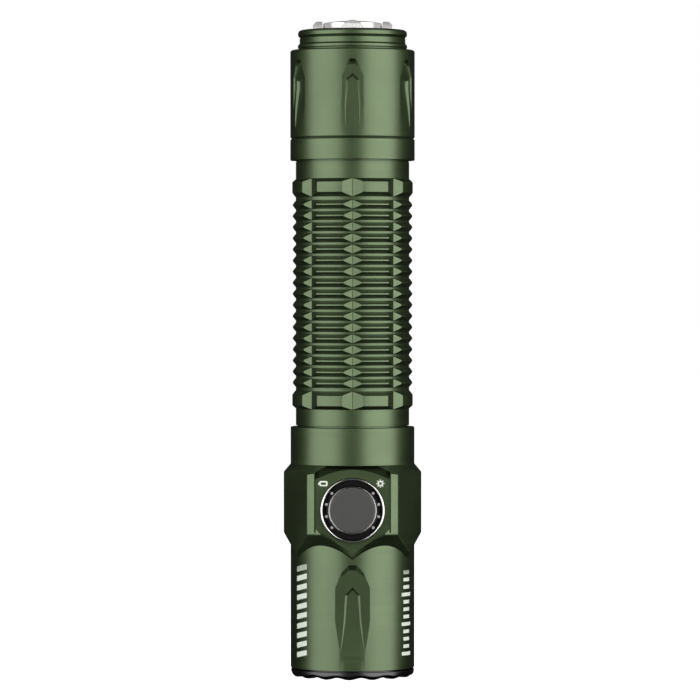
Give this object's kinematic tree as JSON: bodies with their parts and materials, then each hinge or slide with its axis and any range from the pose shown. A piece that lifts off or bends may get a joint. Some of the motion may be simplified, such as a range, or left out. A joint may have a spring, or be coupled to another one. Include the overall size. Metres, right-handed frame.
{
  "type": "tactical flashlight",
  "caption": "Tube flashlight with a side switch in a faceted collar, ridged grip, screw-off tail cap and a pressed metal tail switch.",
  "frame": {"origin": "on the tube's axis, in the plane of the strike bezel's tips, which is the lowest plane of the part", "axes": "+Z along the tube from the bezel to the tail switch; -Y is the direction the side switch faces"},
  "size_m": [0.029, 0.0276, 0.1381],
  "materials": {
    "olive_anodised": "satin",
    "gunmetal_anodised": "satin",
    "brushed_steel": "satin",
    "bright_chrome": "polished",
    "vacuum_aluminium": "polished",
    "gold_plated_brass": "satin",
    "coated_glass": "gloss",
    "black_nbr": "matte",
    "black_acetal": "gloss",
    "white_nylon": "matte",
    "smoked_polycarbonate": "satin",
    "diffuser_acrylic": "satin",
    "green_fibreglass": "satin",
    "yellow_phosphor": "satin",
    "shrink_wrap": "satin",
    "nickel_plate": "satin"
  },
  "bodies": {
    "root": {"strike_bezel": "gunmetal_anodised", "front_glass": "coated_glass", "lens_seal": "black_nbr", "reflector": "vacuum_aluminium", "led_gasket": "white_nylon", "led_emitter": "yellow_phosphor", "led_board": "white_nylon", "board_screw_1": "brushed_steel", "board_screw_2": "brushed_steel", "head_housing": "olive_anodised", "switch_ring": "bright_chrome", "indicator_window": "black_acetal", "indicator_dot_1": "diffuser_acrylic", "indicator_dot_2": "diffuser_acrylic", "indicator_dot_3": "diffuser_acrylic", "indicator_dot_4": "diffuser_acrylic", "indicator_dot_5": "diffuser_acrylic", "indicator_dot_6": "diffuser_acrylic", "indicator_dot_7": "diffuser_acrylic", "indicator_dot_8": "diffuser_acrylic", "switch_seal": "black_nbr", "tact_switch": "nickel_plate", "switch_board": "green_fibreglass", "driver_board": "green_fibreglass", "driver_retaining_ring": "gold_plated_brass", "driver_contact": "gold_plated_brass", "cell_body": "shrink_wrap", "cell_positive_cap": "nickel_plate", "cell_insulator": "white_nylon", "battery_tube": "olive_anodised", "head_oring": "black_nbr", "tail_oring": "black_nbr"},
    "side_switch": {"switch_cap": "smoked_polycarbonate"},
    "tail_spring": {"tail_spring": "gold_plated_brass"},
    "tail_cap": {"tail_cap": "olive_anodised", "tail_retaining_ring": "gold_plated_brass", "tail_board": "green_fibreglass", "tail_tact_switch": "nickel_plate", "button_seal": "black_nbr"},
    "tail_switch": {"tail_button": "brushed_steel", "charge_contact": "gold_plated_brass", "charge_insulator": "black_acetal", "charge_magnet": "nickel_plate"}
  },
  "joints": [
    {"name": "side_switch_press", "type": "slide", "parent": "root", "child": "side_switch", "axis": [0, 1, 0], "range_m": [0, 0.0005], "stiffness_N_per_m": 3000, "springref_m": -0.0005},
    {"name": "tail_cap_lift", "type": "slide", "parent": "root", "child": "tail_spring", "axis": [0, 0, 1], "range_m": [0, 0.0075]},
    {"name": "tail_cap_turn", "type": "hinge", "parent": "tail_spring", "child": "tail_cap", "pos_m": [0, 0, 0.12], "axis": [0, 0, 1], "range_deg": [0, 1800]},
    {"name": "tail_switch_press", "type": "slide", "parent": "tail_cap", "child": "tail_switch", "axis": [0, 0, -1], "range_m": [0, 0.0012], "stiffness_N_per_m": 3000, "springref_m": -0.001}
  ],
  "couplings": [
    {"joint": "tail_cap_turn", "follows": "tail_cap_lift", "rad_per_m": 4188.8}
  ]
}
